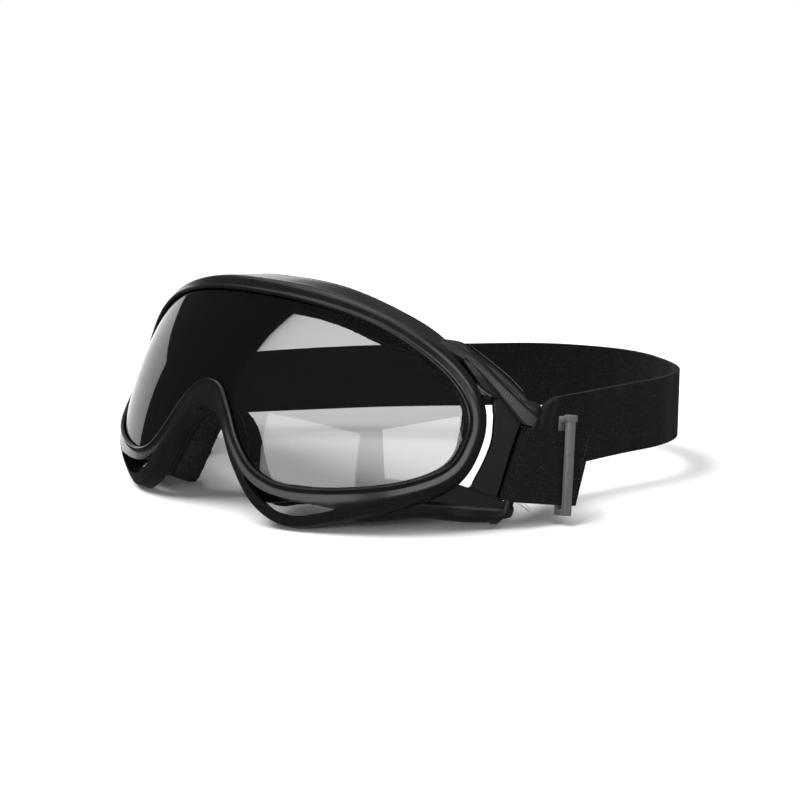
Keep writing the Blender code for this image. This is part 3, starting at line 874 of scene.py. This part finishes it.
def hem_stitches(side, word):
    start, along, lean, out = tail_frame(side)
    edge = start + along * (TAIL_LENGTH - 1.6) + out * (STRAP_THICKNESS / 2 + 0.02)
    made = []
    for k in range(STITCHES):
        middle = edge + lean * ((k + 0.5) / STITCHES - 0.5) * (STRAP_WIDTH - 1.6)
        made.append(tube("stitch", [middle + lean * a + out * b for a, b in STITCH_BOW], 0.12))
    return joined(f"hem_stitches_{word}", made)


def loose_threads(side, word):
    start, along, lean, out = tail_frame(side)
    corner = start - lean * (STRAP_WIDTH / 2 - 0.2)
    made = []
    for reach, drop, shift in ((5.2, 2.0, 0.5), (4.2, 2.6, 1.6), (2.8, 1.5, 3.2)):
        t = np.linspace(0, 1, 9)[:, None]
        bend = np.sin(t * math.pi) * 0.35
        made.append(tube("thread", corner + along * (shift + reach * t) - lean * (drop * t ** 1.3 + bend)
                         + out * (0.3 + 0.5 * bend), 0.07, 5))
    return joined(f"loose_threads_{word}", made)


# %% Hems and threads in place
for side, word in SIDES:
    hem = refined_copy(f"strap_hem_{word}", f"tail_hem_{word}", 0.0002)
    smooth(hem, 40)
    dress(hem, WEBBING_FINISH, "goggles")
    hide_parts(f"strap_hem_{word}")
    for piece in (hem_stitches(side, word), loose_threads(side, word)):
        smooth(piece, 50)
        dress(piece, THREAD_FINISH, "goggles")

# %% [markdown]
# ## Keepers
# A keeper is a small grey plastic loop that slides on the tail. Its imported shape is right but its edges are
# razor sharp, so a merged copy gets small rounded bevels, which catch the light as the real moulding does. A
# small bevelled head sits on its outer bar. Both ride on the keeper's body, so they slide together.

# %% Keeper finish
def keeper_grey():
    made = Finish("keeper_grey", (0.1, 0.1, 0.105), 0.4)
    brushed = made.noise(0.0006, 3, 0.6, stretch=(1, 1, 0.15))
    made.set(Base_Color=made.blend(brushed, (0.075, 0.075, 0.077), (0.13, 0.13, 0.133)))
    made.set(Roughness=brushed.between(0.3, 0.7, 0.34, 0.48))
    made.bump(brushed, 0.00003, 0.4)
    return made


# %% Keeper head
KEEPER_ALONG, KEEPER_RISE, KEEPER_HEIGHT, KEEPER_DEPTH = 14.8, 0.8, 32.2, 7.0
CAP_SIZE = (3.8, 2.7, 2.2)  # along the strap, outward and up


def keeper_cap(side, word):
    """The small bevelled head on the outer bar of a keeper."""
    start, along, lean, out = tail_frame(side)
    square_up = unit(lean - along * lean.dot(along))
    outward_way = unit(np.cross(square_up, along)) * side
    if outward_way.dot(out) < 0:
        outward_way = -outward_way
    middle = start + along * KEEPER_ALONG + square_up * (KEEPER_RISE + KEEPER_HEIGHT / 2 - 0.7)
    middle = middle + outward_way * (KEEPER_DEPTH / 2 - 1.0)
    deselect()
    bpy.ops.mesh.primitive_cube_add(size=1)
    cap = bpy.context.object
    cap.name = cap.data.name = f"keeper_cap_{word}"
    turn = np.column_stack([along, outward_way, square_up]) * CAP_SIZE * MM
    cap.data.transform(Matrix.Translation(Vector(middle * MM)) @ Matrix(turn.tolist()).to_4x4())
    finish(cap, "BEVEL", width=0.0005, segments=3)
    face_out(cap)
    return cap


# %% Keepers in place
KEEPER_FINISH = keeper_grey()
for side, word in SIDES:
    cap = keeper_cap(side, word)
    smooth(cap, 35)
    dress(cap, KEEPER_FINISH, f"{word}_keeper")
    keeper = refined_copy(f"keeper_{word}", f"strap_keeper_{word}", 0.00025)
    smooth(keeper, 35)
    dress(keeper, KEEPER_FINISH, f"{word}_keeper")
    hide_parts(f"keeper_{word}")

# %% [markdown]
# ## Floor, light and camera
# The goggles lie on a plain pale floor that runs into a white room. One very soft lamp gives the shadow on the
# floor. Black gloss shows only what it mirrors, so the rest of the light is a set of softboxes, each placed
# where one surface looks: two windows for the lens, one for its far edge, one for the temple and two for the
# crown. The floor and the soft lamp stay out of the mirror, so the blacks stay black.

# %% Floor
def stage_floor():
    deselect()
    bpy.ops.mesh.primitive_plane_add(size=8, location=(0, 0, -0.0004))
    floor = bpy.context.object
    floor.name = "floor"
    made = Finish("floor_paper", (0.92, 0.92, 0.92), 0.9, Specular_IOR_Level=0.0)
    floor.data.materials.append(made.material)
    floor.visible_glossy = False


stage_floor()


# %% Bearings and softboxes
LIT_PLACE = Vector((0.02, -0.04, 0.03))


def aimed(obj, target, azimuth, elevation, distance):
    """Puts a lamp or camera at this bearing in degrees and distance from the target, facing it."""
    azimuth, elevation = math.radians(azimuth), math.radians(elevation)
    away = Vector((math.sin(azimuth) * math.cos(elevation), -math.cos(azimuth) * math.cos(elevation),
                   math.sin(elevation)))
    obj.location = target + away * distance
    obj.rotation_euler = away.to_track_quat("Z", "Y").to_euler()


def softbox(name, bearing, size, glow):
    """A rectangle of light, by its azimuth, elevation and distance, its size, and how bright its face is."""
    light = bpy.data.lights.new(name, "AREA")
    light.shape = "RECTANGLE"
    light.size, light.size_y = size
    light.energy = glow * math.pi * size[0] * size[1]
    obj = bpy.data.objects.new(name, light)
    bpy.context.scene.collection.objects.link(obj)
    aimed(obj, LIT_PLACE, *bearing)


# %% Studio
SOFTBOXES = [("window_wide", (6, 14, 0.6), (0.44, 0.23), 2.6),
             ("window_bright", (53, 18, 0.6), (0.31, 0.17), 3.6),
             ("side_box", (86, 46, 0.6), (0.26, 0.3), 2.6),
             ("left_box", (-112, -1, 0.6), (0.62, 0.25), 1.7),
             ("back_box", (-138, 50, 0.6), (0.5, 0.35), 0.45),
             ("top_box", (165, 84, 0.65), (0.8, 0.6), 0.85)]
ROOM_GLOW = 0.08            # of the room on surfaces; seen straight on it is white


def white_room():
    world = bpy.data.worlds.new("studio")
    bpy.context.scene.world = world
    world.use_nodes = True
    tree = world.node_tree
    seen = Wire(tree, tree.nodes.new("ShaderNodeLightPath").outputs["Is Camera Ray"])
    background = tree.nodes["Background"]
    background.inputs["Color"].default_value = (1, 1, 1, 1)
    seen.join(background.inputs["Strength"], seen * (1 - ROOM_GLOW) + ROOM_GLOW)


def soft_sun():
    """A lamp that fills a wide patch of sky, for the soft shadow."""
    sun = bpy.data.lights.new("sky_panel", "SUN")
    sun.energy = 3.95
    sun.angle = math.radians(45)
    lamp = bpy.data.objects.new("sky_panel", sun)
    bpy.context.scene.collection.objects.link(lamp)
    aimed(lamp, LIT_PLACE, -50, 62, 1)
    lamp.visible_glossy = False


white_room()
soft_sun()
for name, bearing, size, glow in SOFTBOXES:
    softbox(name, bearing, size, glow)
bpy.context.scene.view_settings.view_transform = "Standard"
print(len(SOFTBOXES), "softboxes")

# %% Camera
AIM = Vector((0.0540, 0.03135 + CENTRE_SHIFT * MM, -0.00722 + REST_HEIGHT * MM))
CAMERA_BEARING = (42.3647, 12.3867, 0.5492)

camera = bpy.data.objects.new("camera", bpy.data.cameras.new("camera"))
bpy.context.scene.collection.objects.link(camera)
aimed(camera, AIM, *CAMERA_BEARING)
camera.data.lens = 76.41
camera.data.sensor_width = 36
bpy.context.scene.camera = camera
print("camera at", [round(x, 3) for x in camera.location])
